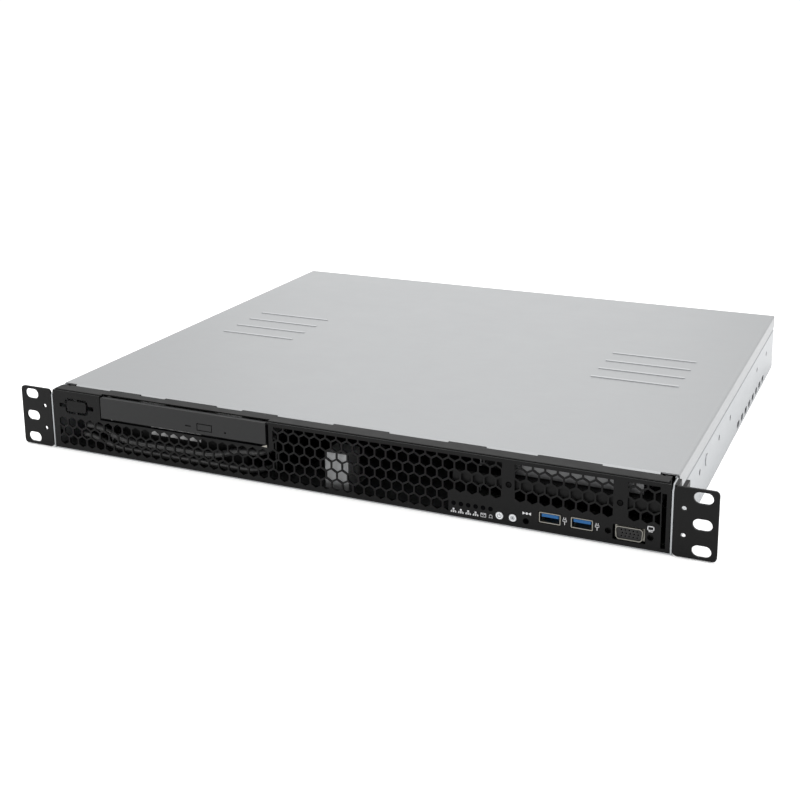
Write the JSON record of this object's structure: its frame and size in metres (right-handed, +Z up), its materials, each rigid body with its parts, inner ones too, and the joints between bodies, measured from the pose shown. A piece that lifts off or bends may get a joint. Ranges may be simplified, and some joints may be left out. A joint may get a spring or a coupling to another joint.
{
  "type": "rack server",
  "caption": "One-unit rack server: steel chassis with sliding cover, slotted rack ears, honeycomb front with disc drive, ports and buttons; fans, disks, power supply and board inside.",
  "frame": {"origin": "on the underside of the floor, midway across the width and midway between the front of the rack ears and the rear of the thumb screws", "axes": "+X to the right as seen from the front, +Y towards the rear, +Z up"},
  "size_m": [0.4826, 0.387, 0.0435],
  "materials": {
    "black_paint": "fine textured black powder coat",
    "zinc_steel": "galvanised sheet, dull",
    "cover_steel": "smooth galvanised sheet",
    "screw_steel": "plated",
    "black_screw": "black oxide",
    "black_plastic": "matt",
    "bezel_plastic": "fine matt grain",
    "tray_plastic": "satin",
    "button_plastic": "satin white",
    "lens_plastic": "smoked",
    "duct_plastic": "clear sheet",
    "blue_plastic": "satin",
    "port_metal": "nickel plate",
    "drive_metal": "thin plated sheet",
    "fin_aluminium": "extruded",
    "brass": "turned",
    "circuit_board": "solder mask",
    "dark_board": "black solder mask",
    "chip_metal": "nickel lid",
    "cable_sleeve": "braided sleeve"
  },
  "bodies": {
    "chassis": {"chassis_floor": "zinc_steel", "side_wall_left": "zinc_steel", "side_wall_right": "zinc_steel", "rear_panel": "zinc_steel", "front_panel": "black_paint", "front_top_rail": "black_paint", "rack_ear_left": "black_paint", "rack_ear_right": "black_paint", "ear_screws": "black_screw", "panel_screws": "black_screw", "front_brace": "black_paint", "support_post": "zinc_steel", "front_io_board": "dark_board", "light_pipes": "lens_plastic", "usb_shells": "port_metal", "usb_tongues": "blue_plastic", "vga_shell": "port_metal", "vga_insert": "black_plastic", "drive_case": "drive_metal", "disk_left": "black_paint", "disk_right": "black_paint", "disk_cradle_left": "zinc_steel", "disk_cradle_right": "zinc_steel", "drive_cables": "cable_sleeve", "fan_frame_left": "black_plastic", "fan_frame_right": "black_plastic", "psu_fan_frame": "black_plastic", "fan_bracket": "zinc_steel", "psu_case": "zinc_steel", "psu_inlet": "black_plastic", "inlet_pins": "brass", "main_board": "circuit_board", "board_pillars": "brass", "board_screws": "screw_steel", "cpu_socket": "drive_metal", "processor": "chip_metal", "heatsink": "fin_aluminium", "heatsink_screws": "screw_steel", "air_duct": "duct_plastic", "memory_sockets": "black_plastic", "memory_modules": "circuit_board", "riser_card": "circuit_board", "slot_cover": "zinc_steel", "lan_ports": "port_metal", "rear_usb_stack": "port_metal", "rear_monitor_socket": "port_metal", "power_cable": "cable_sleeve"},
    "cover": {"top_cover": "cover_steel"},
    "screw_left": {"thumb_screw_left": "screw_steel"},
    "screw_right": {"thumb_screw_right": "screw_steel"},
    "power_key": {"power_button": "button_plastic"},
    "locate_key": {"locate_button": "button_plastic"},
    "reset_key": {"reset_button": "black_plastic"},
    "tray": {"disc_tray": "tray_plastic", "drive_bezel": "bezel_plastic"},
    "eject_key": {"eject_button": "bezel_plastic"},
    "hub": {"disc_hub": "tray_plastic"},
    "rotor_left": {"fan_rotor_left": "black_plastic"},
    "rotor_right": {"fan_rotor_right": "black_plastic"},
    "rotor_psu": {"psu_fan_rotor": "black_plastic"}
  },
  "joints": [
    {"name": "cover_slide", "type": "slide", "parent": "chassis", "child": "cover", "axis": [0, 1, 0], "range_m": [0, 0.014]},
    {"name": "screw_left_turn", "type": "hinge", "parent": "cover", "child": "screw_left", "pos_m": [-0.1215, 0.1905, 0.0345], "axis": [0, 1, 0], "continuous": true},
    {"name": "screw_right_turn", "type": "hinge", "parent": "cover", "child": "screw_right", "pos_m": [0.1015, 0.1905, 0.0345], "axis": [0, 1, 0], "continuous": true},
    {"name": "power_press", "type": "slide", "parent": "chassis", "child": "power_key", "axis": [0, 1, 0], "range_m": [0, 0.001], "stiffness_N_per_m": 1200, "springref_m": -0.0003},
    {"name": "locate_press", "type": "slide", "parent": "chassis", "child": "locate_key", "axis": [0, 1, 0], "range_m": [0, 0.001], "stiffness_N_per_m": 1200, "springref_m": -0.0003},
    {"name": "reset_press", "type": "slide", "parent": "chassis", "child": "reset_key", "axis": [0, 1, 0], "range_m": [0, 0.0004], "stiffness_N_per_m": 2000, "springref_m": -0.0001},
    {"name": "tray_slide", "type": "slide", "parent": "chassis", "child": "tray", "axis": [0, -1, 0], "range_m": [0, 0.12]},
    {"name": "eject_press", "type": "slide", "parent": "tray", "child": "eject_key", "axis": [0, 1, 0], "range_m": [0, 0.0006], "stiffness_N_per_m": 900, "springref_m": -0.0002},
    {"name": "hub_spin", "type": "hinge", "parent": "tray", "child": "hub", "pos_m": [-0.1099, -0.1255, 0.034], "axis": [0, 0, 1], "continuous": true},
    {"name": "fan_left_spin", "type": "hinge", "parent": "chassis", "child": "rotor_left", "pos_m": [-0.02, -0.0335, 0.0218], "axis": [0, 1, 0], "continuous": true},
    {"name": "fan_right_spin", "type": "hinge", "parent": "chassis", "child": "rotor_right", "pos_m": [0.036, -0.0335, 0.0218], "axis": [0, 1, 0], "continuous": true},
    {"name": "fan_psu_spin", "type": "hinge", "parent": "chassis", "child": "rotor_psu", "pos_m": [-0.1905, 0.1665, 0.0205], "axis": [0, 1, 0], "continuous": true}
  ]
}
